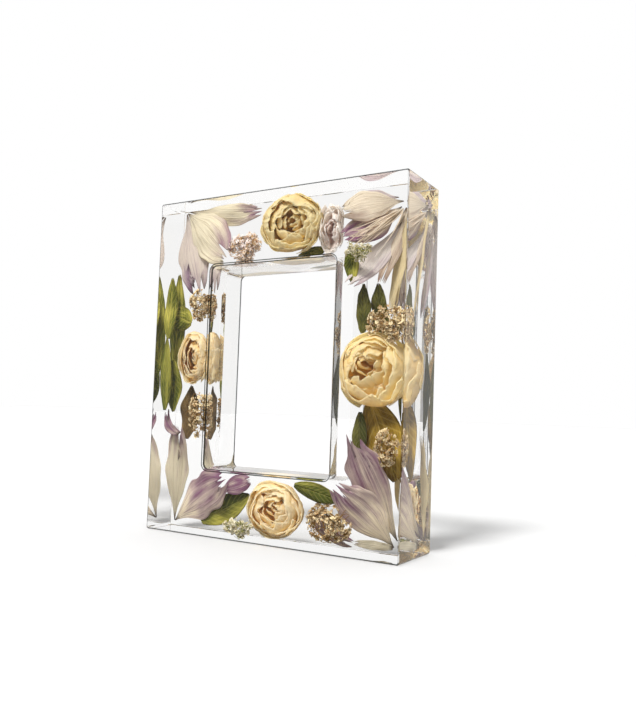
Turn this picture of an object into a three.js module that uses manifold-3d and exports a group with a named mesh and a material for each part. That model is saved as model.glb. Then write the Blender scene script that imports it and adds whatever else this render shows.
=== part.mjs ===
// Clear cast resin picture frame with dried flowers sealed in its four bars, in millimetres, +Z up
import * as THREE from "three";
import { mergeVertices } from "three/addons/utils/BufferGeometryUtils.js";
import Module from "manifold-3d";

// Block and opening
const frameWidth = 168;
const frameHeight = 200;
const frameDepth = 40;
const sideBar = 42;
const topBar = 42;
const bottomBar = 39;
const lipDepth = 15;
const seatAside = 7;
const seatAbove = 0.8;
const outerEdge = 0.9;
const outerCorner = 1.4;
const openingCorner = 3;

// Clearances
const pocketGap = 0.5;
const seatWall = 0.7;
const neighbourGap = 0.35;
const pastFace = 1;
const pastPlane = 0.05;

// Sheets of petal and leaf
const sheetThickness = 0.9;
const sheetStations = [0, 0.22, 0.5, 0.8, 1];
const sheetAcross = [-1, -0.4, 0.4, 1];
const narrowAcross = [-1, 0, 1];
const plainAcross = [-1, 1];
const narrowWidth = 19.2;

// Rose heads
const roseRings = [0.16, 0.34, 0.52, 0.7, 0.86, 1];
const roseBackRings = [0.72, 0.38];
const roseSpokes = 12;
const roseWave = 1.5;
const roseWaveLength = 0.36;
const roseLobes = 5;
const roseLobeDepth = 0.07;
const roseHollow = 3.2;
const roseHollowShare = 0.55;

// Clusters of small dried florets
const clusterRings = [0.4, 0.75, 1];
const clusterBackRings = [0.6];
const clusterSpokes = 10;
const clusterBump = 0.26;
const clusterNotch = 0.16;

// Plain forms of heads and clusters, for their pockets
const plainRings = [0.5, 1];
const plainSpokes = 8;
const plainSpread = 1.085;
const plainLead = 0.2;
const plainTurn = 0.5;

// Rounding of a head's face and of the bowl behind it
const domePower = 2.8;
const bowlPower = 0.8;
const wavePower = 4;

// Half width of each kind of sheet: least share, start, reach and the two powers of its curve
const petalCurve = [0.1, 0.04, 0.9, 1.25, 0.8];
const leafCurve = [0.08, 0.03, 0.95, 0.9, 0.9];
const strapCurve = [0.3, 0.05, 0.9, 1, 0.6];

// Surfaces
const weldTolerance = 1e-4;
const driedRoughness = 0.75;
const resinRoughness = 0.05;
const resinOpacity = 0.3;

const wasm = await Module();
wasm.setup();

// Depth counts from the front face towards the back
function at(depth) {
  return depth - frameDepth / 2;
}

function solidOf(geometry) {
  geometry.deleteAttribute("normal");
  geometry.deleteAttribute("uv");
  const merged = mergeVertices(geometry, weldTolerance);
  const vertProperties = new Float32Array(merged.attributes.position.array);
  const triVerts = new Uint32Array(merged.index.array);
  return new wasm.Manifold(new wasm.Mesh({ numProp: 3, vertProperties, triVerts }));
}

function geometryOf(solid) {
  const mesh = solid.getMesh();
  const geometry = new THREE.BufferGeometry();
  geometry.setAttribute("position", new THREE.BufferAttribute(mesh.vertProperties, 3));
  geometry.setIndex(new THREE.BufferAttribute(mesh.triVerts, 1));
  geometry.computeVertexNormals();
  return geometry;
}

function largest(solid) {
  const bodies = solid.decompose();
  bodies.sort((a, b) => b.volume() - a.volume());
  return bodies[0];
}

// Closed surface from points and triangles, turned so that it faces out
function closedSolid(points, triangles) {
  let volume = 0;
  for (const [a, b, c] of triangles) {
    const cross = new THREE.Vector3().crossVectors(points[b], points[c]);
    volume += points[a].dot(cross);
  }
  const facing = volume < 0 ? triangles.map(([a, b, c]) => [a, c, b]) : triangles;
  const geometry = new THREE.BufferGeometry();
  const flat = points.flatMap((p) => [p.x, p.y, p.z]);
  geometry.setAttribute("position", new THREE.BufferAttribute(new Float32Array(flat), 3));
  geometry.setIndex(facing.flat());
  return solidOf(geometry);
}

function roundedRectangle(left, right, low, high, radius) {
  const shape = new THREE.Shape();
  shape.moveTo(left + radius, low);
  shape.lineTo(right - radius, low);
  shape.absarc(right - radius, low + radius, radius, -Math.PI / 2, 0);
  shape.lineTo(right, high - radius);
  shape.absarc(right - radius, high - radius, radius, 0, Math.PI / 2);
  shape.lineTo(left + radius, high);
  shape.absarc(left + radius, high - radius, radius, Math.PI / 2, Math.PI);
  shape.lineTo(left, low + radius);
  shape.absarc(left + radius, low + radius, radius, Math.PI, Math.PI * 1.5);
  return shape;
}

// Outline in width and height, carried through the block from one depth to another
function prism(shape, fromDepth, toDepth, edge) {
  const geometry = new THREE.ExtrudeGeometry(shape, {
    depth: toDepth - fromDepth - 2 * edge,
    bevelEnabled: edge > 0,
    bevelThickness: edge,
    bevelSize: edge,
    bevelOffset: -edge,
    bevelSegments: 1,
    curveSegments: 2,
  });
  geometry.rotateX(Math.PI / 2);
  geometry.translate(0, at(toDepth) - edge, 0);
  return solidOf(geometry);
}

function slab(fromDepth, toDepth) {
  const geometry = new THREE.BoxGeometry(2 * frameWidth, toDepth - fromDepth, 4 * frameHeight);
  geometry.translate(0, at((fromDepth + toDepth) / 2), 0);
  return solidOf(geometry);
}

// Grid of stations with a front and a back face, closed around its rim
function sheetSolid(stations, across, pointAt) {
  const points = [];
  const index = new Map();
  const triangles = [];
  const columns = across.length;
  const rows = stations.length;
  for (const face of [-1, 1]) {
    for (let i = 0; i < rows; i++) {
      for (let j = 0; j < columns; j++) {
        index.set(`${face},${i},${j}`, points.length);
        points.push(pointAt(stations[i], across[j], face));
      }
    }
  }
  const corner = (face, i, j) => index.get(`${face},${i},${j}`);
  for (let i = 0; i + 1 < rows; i++) {
    for (let j = 0; j + 1 < columns; j++) {
      for (const face of [-1, 1]) {
        const a = corner(face, i, j);
        const b = corner(face, i + 1, j);
        const c = corner(face, i + 1, j + 1);
        const d = corner(face, i, j + 1);
        triangles.push(face < 0 ? [a, b, c] : [a, c, b]);
        triangles.push(face < 0 ? [a, c, d] : [a, d, c]);
      }
    }
  }
  const rim = [];
  for (let i = 0; i + 1 < rows; i++) rim.push([i, 0]);
  for (let j = 0; j + 1 < columns; j++) rim.push([rows - 1, j]);
  for (let i = rows - 1; i > 0; i--) rim.push([i, columns - 1]);
  for (let j = columns - 1; j > 0; j--) rim.push([0, j]);
  rim.forEach(([i, j], k) => {
    const [m, n] = rim[(k + 1) % rim.length];
    triangles.push([corner(-1, m, n), corner(-1, i, j), corner(1, i, j)]);
    triangles.push([corner(-1, m, n), corner(1, i, j), corner(1, m, n)]);
  });
  return closedSolid(points, triangles);
}

// Half width along the length, as a share of the widest
function shareAt(curve, u) {
  const [least, start, reach, skew, fullness] = curve;
  const swell = Math.sin(Math.PI * Math.pow(start + reach * u, skew));
  return least + (1 - least) * Math.pow(swell, fullness);
}

// One petal or leaf grown by a margin: plain is uncurled, swept also reaches the parting plane
function sheetShape(spec, grow, plain, swept) {
  const [baseX, baseDepth, baseZ] = spec.base;
  const [tipX, tipDepth, tipZ] = spec.tip;
  const run = new THREE.Vector2(tipX - baseX, tipZ - baseZ);
  const length = run.length();
  const side = new THREE.Vector2(-run.y, run.x).divideScalar(length);
  const pointAt = (station, across, face) => {
    const u = station + (2 * station - 1) * (grow / length);
    const inside = Math.min(1, Math.max(0, u));
    const arch = 4 * inside * (1 - inside);
    const share = shareAt(spec.curve, inside);
    const aside = across * (0.5 * spec.width * share + grow) + spec.bend * arch;
    const middle = baseDepth + (tipDepth - baseDepth) * u + spec.bow * arch;
    const curl = plain ? Math.max(0, face * spec.cup) * face : spec.cup * across * across;
    let reach = middle + curl * share + face * (0.5 * sheetThickness + grow);
    if (swept && face < 0) reach = Math.min(reach, lipDepth - pastPlane);
    if (swept && face > 0) reach = Math.max(reach, lipDepth + pastPlane);
    const x = baseX + run.x * u + side.x * aside;
    const z = baseZ + run.y * u + side.y * aside;
    return new THREE.Vector3(x, at(reach), z);
  };
  const fine = spec.width > narrowWidth ? sheetAcross : narrowAcross;
  return sheetSolid(sheetStations, plain ? plainAcross : fine, pointAt);
}

// Relief of a rose: a hollow heart, spiral rows of petals and a lobed edge
const roseRelief = {
  rings: roseRings,
  backRings: roseBackRings,
  spokes: roseSpokes,
  turn: 0,
  sink: (share, angle) => {
    const turn = share / roseWaveLength - angle / Math.PI;
    const fade = share * (1 - Math.pow(share, wavePower));
    const hollow = roseHollow * Math.max(0, 1 - Math.pow(share / roseHollowShare, 2));
    return hollow + roseWave * (1 + Math.cos(2 * Math.PI * turn)) * fade;
  },
  edge: (angle) => 1 - roseLobeDepth * Math.abs(Math.sin(0.5 * roseLobes * angle)),
};

// Relief of a cluster: knobs set in rows and a notched edge
const clusterRelief = {
  rings: clusterRings,
  backRings: clusterBackRings,
  spokes: clusterSpokes,
  turn: 0,
  sink: (share, angle, swell) => {
    const row = Math.round(share * clusterRings.length);
    const knob = Math.cos(0.5 * clusterSpokes * angle + Math.PI * row);
    return share < 1 ? clusterBump * swell * (1 - knob) : 0;
  },
  edge: (angle) => 1 - 0.5 * clusterNotch * (1 - Math.cos(0.5 * clusterSpokes * angle)),
};

const plainRelief = {
  rings: plainRings,
  spokes: plainSpokes,
  turn: plainTurn,
  sink: () => 0,
  edge: () => plainSpread,
};

// Rounded head with a relief on its face and a bowl behind, grown by a margin
function headShape(spec, grow, plain, swept) {
  const [centreX, centreZ] = spec.centre;
  const [radiusX, radiusZ] = spec.radius;
  const relief = plain ? plainRelief : spec.relief;
  const backRings = plain ? [1, ...spec.relief.backRings] : spec.relief.backRings;
  const points = [];
  const triangles = [];
  const front = (depth) => (swept ? Math.min(depth, lipDepth - pastPlane) : depth);
  const back = (depth) => (swept ? Math.max(depth, lipDepth + pastPlane) : depth);
  const put = (x, depth, z) => {
    points.push(new THREE.Vector3(x, at(depth), z));
    return points.length - 1;
  };
  const rimDepth = (angle) => spec.rim + spec.tilt * Math.cos(angle);
  const frontDepth = (share, angle) => {
    const led = plain ? Math.max(0, share - plainLead) : share;
    const dome = spec.face + (rimDepth(angle) - spec.face) * Math.pow(led, domePower);
    return front(dome + relief.sink(share, angle, spec.rim - spec.face) - grow);
  };
  const backDepth = (share, angle) => {
    const rise = Math.pow(1 - share * share, bowlPower);
    return back(rimDepth(angle) + (spec.back - rimDepth(angle)) * rise + grow);
  };
  const ringAt = (share, shift, depthAt) => {
    const ring = [];
    for (let k = 0; k < relief.spokes; k++) {
      const angle = (2 * Math.PI * (k + relief.turn)) / relief.spokes;
      const wide = share * relief.edge(angle);
      const x = centreX + shift * spec.lean[0] + (radiusX + grow) * wide * Math.cos(angle);
      const z = centreZ + shift * spec.lean[1] + (radiusZ + grow) * wide * Math.sin(angle);
      ring.push(put(x, depthAt(share, angle), z));
    }
    return ring;
  };
  const faceTip = put(centreX, frontDepth(0, 0), centreZ);
  const circles = relief.rings.map((share) => ringAt(share, 0, frontDepth));
  for (const share of backRings) circles.push(ringAt(share, 1 - share * share, backDepth));
  const backTip = put(centreX + spec.lean[0], backDepth(0, 0), centreZ + spec.lean[1]);
  const last = circles[circles.length - 1];
  for (let k = 0; k < relief.spokes; k++) {
    const next = (k + 1) % relief.spokes;
    triangles.push([faceTip, circles[0][next], circles[0][k]]);
    for (let r = 0; r + 1 < circles.length; r++) {
      triangles.push([circles[r][k], circles[r][next], circles[r + 1][next]]);
      triangles.push([circles[r][k], circles[r + 1][next], circles[r + 1][k]]);
    }
    triangles.push([backTip, last[k], last[next]]);
  }
  return closedSolid(points, triangles);
}

// Colours of the dried parts and of the resin
const cream = 0xe9d3a2;
const gold = 0xe3bd74;
const ivory = 0xe6dfc4;
const mauve = 0xa5879c;
const lilac = 0xd3c6cf;
const tan = 0xc5b294;
const olive = 0x7d7a35;
const green = 0x5f7136;
const darkGreen = 0x37422a;
const straw = 0xb0905a;
const palePink = 0xe9dad2;
const paleGreen = 0xc9cdb0;
const clear = 0xf4f6f2;

function rose(name, centre, radius, face, rim, back, tilt, lean, colour) {
  const placed = { name, centre, radius, face, rim, back, tilt, lean, colour };
  return { shape: headShape, relief: roseRelief, ...placed };
}

function sheet(name, curve, base, tip, width, cup, bow, bend, colour) {
  return { shape: sheetShape, name, curve, base, tip, width, cup, bow, bend, colour };
}

function sprig(name, centre, radius, face, rim, back, colour) {
  const placed = { name, centre, radius, face, rim, back, colour };
  return { shape: headShape, relief: clusterRelief, tilt: 0, lean: [0, 0], ...placed };
}

// Heads: centre across and up, radii, depth of the face, rim and back, tilt and lean of the back
const heads = [
  rose("rose_top", [8.5, 180], [20.5, 18.6], 3.5, 12, 29, 1, [2, 1], cream),
  rose("rose_left", [-58.3, 104.5], [12.9, 17.2], 5, 13, 27, -5, [-10, 0], cream),
  rose("rose_right", [62, 96.5], [18.3, 21], 3.5, 13, 29, 8, [9, 0], gold),
  rose("rose_bottom", [3.5, 19.5], [18.5, 16.5], 3.5, 13, 29, 1, [2, 0], cream),
  rose("pale_bloom", [34, 175.5], [8.5, 15], 8, 14, 23, 0, [1, 0], palePink),
];

// Petals of the four corners: outline, base, tip, width, cup, bow and bend
const petals = [
  sheet("petal_tl_broad", petalCurve, [-74, 25, 196.3], [-34.5, 8, 163.5], 28, 2, -2, 1, ivory),
  sheet("petal_tl_long", petalCurve, [-72, 24, 197], [-12.5, 14, 190.5], 14, 1, 1, -2, ivory),
  sheet("petal_tl_low", petalCurve, [-75, 25.5, 196], [-56, 12, 142.5], 25, 1.5, -2, 0, lilac),
  sheet("petal_tr_mauve", petalCurve, [70, 36, 187], [43.5, 7, 169], 19, 2, -1, 2, mauve),
  sheet("petal_tr_tan", petalCurve, [71, 36, 190], [43, 5, 182], 18, 1.5, -1, -1, tan),
  sheet("petal_tr_lilac", petalCurve, [71, 33, 178], [48.5, 5, 142], 14, 2, 1, 2, lilac),
  sheet("petal_tr_back", petalCurve, [68, 36.5, 192.5], [42, 22, 190], 11, 1, 1, -1, lilac),
  sheet("petal_tr_brown", strapCurve, [74, 36, 186], [65, 14, 143], 9, 1, 1, 0, tan),
  sheet("petal_tr_yellow", strapCurve, [79, 31, 187], [69, 21, 126], 7, 1, 0, -1, ivory),
  sheet("petal_tr_side", petalCurve, [79, 37, 182], [72, 29, 126], 13, 2, 1, -2, mauve),
  sheet("petal_bl_tall", petalCurve, [-76.5, 31, 4], [-70, 15, 63], 18.5, 2, -1, 0, ivory),
  sheet("petal_bl_broad", petalCurve, [-76, 31, 4], [-28, 8, 34], 26, 2.5, -2, 1, mauve),
  sheet("petal_bl_hook", strapCurve, [-67, 12, 58], [-79, 14, 72], 7, 1, 0, 4, mauve),
  sheet("petal_bl_folded", petalCurve, [-36, 15, 26], [-13, 13, 34], 12, 1, 0, 0, mauve),
  sheet("petal_br_mauve", petalCurve, [71, 35, 4.5], [43.5, 6, 36], 24, 2, -2, -2, mauve),
  sheet("petal_br_torn", petalCurve, [73, 35, 8], [52, 5, 65], 23, 0.5, -3, 0, lilac),
  sheet("petal_br_side", petalCurve, [77, 36, 6], [75.5, 30, 64], 12, 2, 1, 0, ivory),
  sheet("petal_br_thin", strapCurve, [71, 33, 4.5], [52, 20, 6], 5, 0.5, 0, 0, ivory),
  sheet("petal_br_low", strapCurve, [23, 21, 17], [52, 20, 5], 8, 1, 0, -2, mauve),
];

// Leaves, stated the same way
const leaves = [
  sheet("leaf_left_upper", leafCurve, [-77.5, 8, 116], [-76, 8, 154], 10, 1.5, 0, 0, olive),
  sheet("leaf_left_yellow", leafCurve, [-76.3, 20, 92], [-75.5, 18, 157], 12.5, 1, 0, 0, olive),
  sheet("leaf_left_lower", leafCurve, [-76.5, 15, 103], [-73.5, 13.5, 71], 13, 1.5, 0, 0, green),
  sheet("leaf_left_broad", leafCurve, [-62.5, 14.5, 126], [-80, 13, 132], 15, 1.5, 0, 0, olive),
  sheet("leaf_left_side", leafCurve, [-77.3, 7, 72], [-77.5, 6, 117], 9, 1, 0, 0, green),
  sheet("leaf_left_dark", leafCurve, [-65, 19, 55], [-61.5, 18, 88], 14, 1.5, 0, 0, darkGreen),
  sheet("leaf_bottom_left", leafCurve, [-51, 21, 6.5], [-14, 16, 25.5], 16, 1.5, 1, 0, green),
  sheet("leaf_bottom_right", leafCurve, [18, 9, 34], [47.5, 11, 27.5], 10, 1, 0, 0, green),
  sheet("leaf_right_dark", leafCurve, [54.5, 16.6, 117], [54.2, 16.6, 144], 8.6, 1, 0, 0, darkGreen),
  sheet("leaf_right_mid", leafCurve, [63, 24, 114], [62, 20, 144], 11, 1, 0, 0, darkGreen),
  sheet("leaf_right_corner", leafCurve, [48, 10, 164], [50, 9, 143], 9, 1, 0, 0, green),
  sheet("leaf_right_olive", leafCurve, [58, 23, 82], [76, 18, 40], 23, 2, 0, 0, olive),
  sheet("leaf_right_inner", leafCurve, [54.6, 16.8, 75], [54, 17, 46], 8.6, 1, 0, 0, darkGreen),
  sheet("leaf_right_back", leafCurve, [76, 33, 66], [77, 34, 108], 11, 2, 0, 0, darkGreen),
  sheet("leaf_top", leafCurve, [6, 33, 164], [27, 30, 167], 7, 1, 0, 0, green),
];

// Sprigs: centre across and up, radii, depth of the face, rim and back
const sprigs = [
  sprig("sprig_left_upper", [-54, 136], [8, 10], 4, 8, 11.5, straw),
  sprig("sprig_left_lower", [-51.5, 70], [7, 14], 4, 8, 12, straw),
  sprig("sprig_bottom_pale", [-18, 7.5], [11, 5.5], 3.5, 6, 8.5, paleGreen),
  sprig("sprig_bottom_brown", [39, 15.5], [15, 11], 7, 12, 16, straw),
  sprig("sprig_right_upper", [70, 121.5], [12.5, 10.5], 8, 12, 16, straw),
  sprig("sprig_right_back", [75, 121], [6, 13], 32, 34.5, 37.5, straw),
  sprig("sprig_right_lower", [72, 57], [7, 10], 7, 11, 14.5, paleGreen),
  sprig("sprig_top_left", [-22.5, 169], [12.5, 9], 5, 10, 14, straw),
  sprig("sprig_top_right", [54, 160], [8, 5.5], 2.5, 4.5, 6.5, paleGreen),
];

const specimens = [...heads, ...petals, ...leaves, ...sprigs];
const group = new THREE.Group();

function addNode(name, solid, colour, roughness, opacity) {
  const material = new THREE.MeshStandardMaterial({
    color: colour,
    roughness,
    metalness: 0,
    opacity,
    transparent: opacity < 1,
  });
  const mesh = new THREE.Mesh(geometryOf(solid), material);
  mesh.name = name;
  group.add(mesh);
}

// Opening at the front and the picture seat behind its lip
const halfWidth = frameWidth / 2;
const openLeft = -halfWidth + sideBar;
const openTop = frameHeight - topBar;
const seatLeft = openLeft - seatAside;
const seatLow = bottomBar - seatAbove;
const seatTop = openTop + seatAbove;
const opening = prism(
  roundedRectangle(openLeft, -openLeft, bottomBar, openTop, openingCorner),
  -pastFace,
  frameDepth + pastFace,
  0,
);
const seat = prism(
  roundedRectangle(seatLeft, -seatLeft, seatLow, seatTop, openingCorner),
  lipDepth,
  frameDepth + pastFace,
  0,
);
const lipRoom = prism(
  roundedRectangle(
    seatLeft - seatWall,
    -seatLeft + seatWall,
    seatLow - seatWall,
    seatTop + seatWall,
    openingCorner,
  ),
  -pastFace,
  frameDepth + pastFace,
  0,
);

// A pocket opens at the parting plane, except in the lip, where it keeps to what lies in it
function pocketOf(spec) {
  const swept = spec.shape(spec, pocketGap, true, true);
  if (swept.intersect(lipRoom).volume() === 0) return swept;
  return swept.subtract(lipRoom).add(spec.shape(spec, pocketGap, true, false));
}

// Dried parts, each cut clear of those before it, and the pockets they lie in
const taken = [];
const pockets = [];
for (const spec of specimens) {
  const whole = spec.shape(spec, 0, false, false);
  const cut = taken.length > 0 ? whole.subtract(wasm.Manifold.union(taken)) : whole;
  addNode(spec.name, largest(cut), spec.colour, driedRoughness, 1);
  taken.push(spec.shape(spec, neighbourGap, false, false));
  pockets.push(pocketOf(spec));
}

// Resin block, parted where the lip ends
const block = prism(
  roundedRectangle(-halfWidth, halfWidth, 0, frameHeight, outerCorner),
  0,
  frameDepth,
  outerEdge,
);
const voids = wasm.Manifold.union([opening, seat, ...pockets]);
const frontHalf = block.intersect(slab(-pastFace, lipDepth)).subtract(voids);
const backHalf = block.intersect(slab(lipDepth, frameDepth + pastFace)).subtract(voids);
addNode("resin_front", frontHalf, clear, resinRoughness, resinOpacity);
addNode("resin_back", backHalf, clear, resinRoughness, resinOpacity);

export default group;
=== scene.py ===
import math
import bpy
import numpy as np
from mathutils import Matrix, Vector


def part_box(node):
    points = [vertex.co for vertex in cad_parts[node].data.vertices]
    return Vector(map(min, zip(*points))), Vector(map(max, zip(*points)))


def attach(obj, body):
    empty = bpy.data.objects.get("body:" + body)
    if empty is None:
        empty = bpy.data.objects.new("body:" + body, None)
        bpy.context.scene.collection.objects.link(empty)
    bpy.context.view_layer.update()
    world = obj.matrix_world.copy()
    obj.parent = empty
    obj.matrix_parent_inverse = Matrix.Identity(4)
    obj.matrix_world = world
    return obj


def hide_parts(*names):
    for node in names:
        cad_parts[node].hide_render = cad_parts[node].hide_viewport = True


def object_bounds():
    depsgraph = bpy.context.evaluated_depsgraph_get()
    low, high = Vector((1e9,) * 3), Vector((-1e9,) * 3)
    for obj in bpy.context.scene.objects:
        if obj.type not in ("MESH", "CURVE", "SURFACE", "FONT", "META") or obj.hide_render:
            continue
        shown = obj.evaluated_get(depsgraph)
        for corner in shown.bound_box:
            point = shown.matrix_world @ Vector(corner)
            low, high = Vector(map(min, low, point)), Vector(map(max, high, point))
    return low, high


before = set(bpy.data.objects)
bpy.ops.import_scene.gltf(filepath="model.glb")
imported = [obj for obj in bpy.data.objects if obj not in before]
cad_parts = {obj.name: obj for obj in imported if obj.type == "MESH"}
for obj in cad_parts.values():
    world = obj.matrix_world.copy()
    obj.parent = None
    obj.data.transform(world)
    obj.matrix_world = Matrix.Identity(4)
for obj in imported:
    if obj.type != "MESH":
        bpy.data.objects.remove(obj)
cadBox = [list(corner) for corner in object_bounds()]
scene = bpy.context.scene
mm = 0.001
print("frame loaded:", len(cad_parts), "nodes")

# the clear block in mm; depth counts from the front face to the back
frontLow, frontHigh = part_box("resin_front")
block = {
    "halfWide": cadBox[1][0] / mm,
    "tall": cadBox[1][2] / mm,
    "deep": (cadBox[1][1] - cadBox[0][1]) / mm,
    "lip": (frontHigh.y - frontLow.y) / mm,
    "openHalf": 42.0, "openLow": 39.0, "openHigh": 158.0,
    "seatAside": 7.0, "seatAbove": 0.8,
    "edge": 0.9, "farEdge": 0.45, "corner": 1.4, "openEdge": 1.5, "seatEdge": 0.4, "backEdge": 0.9,
    "openCorner": 3.0,
    "skin": 0.7,  # least resin over anything sealed in it
}


def tint(code):
    parts = [int(code[i:i + 2], 16) / 255 for i in (0, 2, 4)]
    return [c / 12.92 if c < 0.04045 else ((c + 0.055) / 1.055) ** 2.4 for c in parts] + [1.0]


def toFrame(points):
    out = np.array(points, float) * mm
    out[..., 1] -= block["deep"] * mm / 2
    return out


def keepInside(points):
    x, depth, z = points[..., 0], points[..., 1], points[..., 2]
    skin = block["skin"]
    x = np.clip(x, skin - block["halfWide"], block["halfWide"] - skin)
    depth = np.clip(depth, skin, block["deep"] - skin)
    z = np.clip(z, skin, block["tall"] - skin)
    behind = depth > block["lip"] - skin
    half = block["openHalf"] + skin + np.where(behind, block["seatAside"], 0)
    low = block["openLow"] - skin - np.where(behind, block["seatAbove"], 0)
    high = block["openHigh"] + skin + np.where(behind, block["seatAbove"], 0)
    ways = np.stack([half - np.abs(x), z - low, high - z])
    wrong = (ways > 0).all(0)
    way = ways.argmin(0)
    x = np.where(wrong & (way == 0), np.sign(x) * half, x)
    z = np.where(wrong & (way == 1), low, z)
    z = np.where(wrong & (way == 2), high, z)
    return np.stack([x, depth, z], -1)


def seedOf(name):
    return sum((i + 3) * ord(c) for i, c in enumerate(name))


def ripple(u, v, draw, count=5, low=1.0, high=4.0):
    total = 0
    for _ in range(count):
        turn, phase = draw.uniform(0, 2 * math.pi, 2)
        pitch = draw.uniform(low, high)
        total = total + np.sin(2 * math.pi * pitch * (u * math.cos(turn) + v * math.sin(turn)) + phase)
    return total / math.sqrt(count / 2)


def shellFrom(grid, thickness):
    along, across = np.gradient(grid, axis=0), np.gradient(grid, axis=1)
    normal = np.cross(along, across)
    normal /= np.linalg.norm(normal, axis=-1, keepdims=True) + 1e-9
    rows, cols = grid.shape[:2]
    index = np.arange(rows * cols).reshape(rows, cols)
    a, b, c, d = index[:-1, :-1], index[1:, :-1], index[1:, 1:], index[:-1, 1:]
    front = np.stack([a, b, c, d], -1).reshape(-1, 4)
    back = front[:, ::-1] + rows * cols
    rim = np.concatenate([index[:-1, 0], index[-1, :-1], index[:0:-1, -1], index[0, :0:-1]])
    after = np.roll(rim, -1)
    sides = np.stack([after, rim, rim + rows * cols, after + rows * cols], -1)
    points = np.concatenate([(grid + normal * thickness / 2).reshape(-1, 3),
                             (grid - normal * thickness / 2).reshape(-1, 3)])
    return points, np.concatenate([front, back, sides])


def tube(path, radius, sides=5):
    path = np.array(path, float)
    run = np.gradient(path, axis=0)
    run /= np.linalg.norm(run, axis=1, keepdims=True) + 1e-9
    aside = np.cross(run, [0.31, 0.17, 0.93])
    aside /= np.linalg.norm(aside, axis=1, keepdims=True) + 1e-9
    other = np.cross(run, aside)
    turn = np.linspace(0, 2 * math.pi, sides, endpoint=False)
    radius = np.broadcast_to(radius, len(path))[:, None, None]
    ring = path[:, None] + radius * (np.cos(turn)[None, :, None] * aside[:, None]
                                     + np.sin(turn)[None, :, None] * other[:, None])
    index = np.arange(len(path) * sides).reshape(len(path), sides)
    step = np.roll(index, -1, 1)
    faces = np.stack([index[:-1], step[:-1], step[1:], index[1:]], -1).reshape(-1, 4)
    return ring.reshape(-1, 3), faces, [list(index[0][::-1]), list(index[-1])]


class Pieces:  # gathers grids, tubes and fans into one mesh
    def __init__(self):
        self.points, self.faces, self.values, self.count = [], [], {}, 0

    def add(self, points, faces, **values):
        self.points.append(points)
        for face in faces:
            self.faces.append([int(i) + self.count for i in face])
        for key in set(values) | set(self.values):
            value = np.broadcast_to(np.asarray(values.get(key, 0.0), float), len(points))
            self.values.setdefault(key, [np.zeros(self.count)]).append(value)
        self.count += len(points)

    def addShell(self, grid, thickness, **values):
        points, faces = shellFrom(keepInside(grid), thickness)
        size = grid.shape[:2]
        doubled = {k: np.tile(np.broadcast_to(v, size).reshape(-1), 2) for k, v in values.items()}
        self.add(points, faces, **doubled)

    def addTube(self, path, radius, sides=5, **values):
        points, faces, caps = tube(keepInside(np.array(path, float)), radius, sides)
        self.add(points, list(faces) + caps, **values)

    def build(self, name, material, smooth=True):
        mesh = bpy.data.meshes.new(name)
        mesh.from_pydata(toFrame(np.concatenate(self.points)).tolist(), [], self.faces)
        for key, parts in self.values.items():
            layer = mesh.attributes.new(key, "FLOAT", "POINT")
            layer.data.foreach_set("value", np.concatenate(parts).astype(np.float32))
        mesh.polygons.foreach_set("use_smooth", [smooth] * len(mesh.polygons))
        mesh.materials.append(material)
        mesh.update()
        piece = bpy.data.objects.new(name, mesh)
        scene.collection.objects.link(piece)
        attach(piece, "root")
        return piece


def sealIn(pieces, node, material):
    piece = pieces.build(node + "_dried", material)
    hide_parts(node)


def newMaterial(name):
    material = bpy.data.materials.new(name)
    material.use_nodes = True
    tree = material.node_tree
    return material, tree, tree.nodes["Principled BSDF"], tree.nodes["Material Output"]


def feed(tree, socket, value):
    if isinstance(value, bpy.types.NodeSocket):
        tree.links.new(value, socket)
    else:
        socket.default_value = value


def addNode(tree, kind, **inputs):
    node = tree.nodes.new(kind)
    for key, value in inputs.items():
        numbered = key[0] == "i" and key[1:].isdigit()
        feed(tree, node.inputs[int(key[1:]) if numbered else key], value)
    return node


def math2(tree, operation, a, b=0.0, clamp=False):
    node = addNode(tree, "ShaderNodeMath", i0=a, i1=b)
    node.operation = operation
    node.use_clamp = clamp
    return node.outputs[0]


def scaled(tree, value, gain):
    return math2(tree, "MULTIPLY", value, gain)


def spread(tree, value, middle, gain, clamp=False):
    return math2(tree, "MULTIPLY", math2(tree, "SUBTRACT", value, middle), gain, clamp)


def ranged(tree, value, low, high):
    node = addNode(tree, "ShaderNodeMapRange", Value=value)
    node.inputs["From Min"].default_value = low
    node.inputs["From Max"].default_value = high
    return node.outputs[0]


def mixColour(tree, factor, a, b):
    node = tree.nodes.new("ShaderNodeMix")
    node.data_type = "RGBA"
    node.clamp_factor = True
    for index, value in ((0, factor), (6, a), (7, b)):
        feed(tree, node.inputs[index], value)
    return node.outputs[2]


def meshValues(tree, *names):
    found = []
    for name in names:
        node = tree.nodes.new("ShaderNodeAttribute")
        node.attribute_name = name
        found.append(node.outputs["Fac"])
    return found


def useGroup(tree, group, **inputs):
    node = tree.nodes.new("ShaderNodeGroup")
    node.node_tree = group
    for key, value in inputs.items():
        feed(tree, node.inputs[key], value)
    return node.outputs


def newGroup(name, inputs, outputs):
    group = bpy.data.node_groups.new(name, "ShaderNodeTree")
    for key, value in inputs.items():
        socket = group.interface.new_socket(key, in_out="INPUT", socket_type="NodeSocketFloat")
        socket.default_value = value
    for key in outputs:
        group.interface.new_socket(key, in_out="OUTPUT", socket_type="NodeSocketFloat")
    return group, group.nodes.new("NodeGroupInput").outputs, group.nodes.new("NodeGroupOutput").inputs


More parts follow.
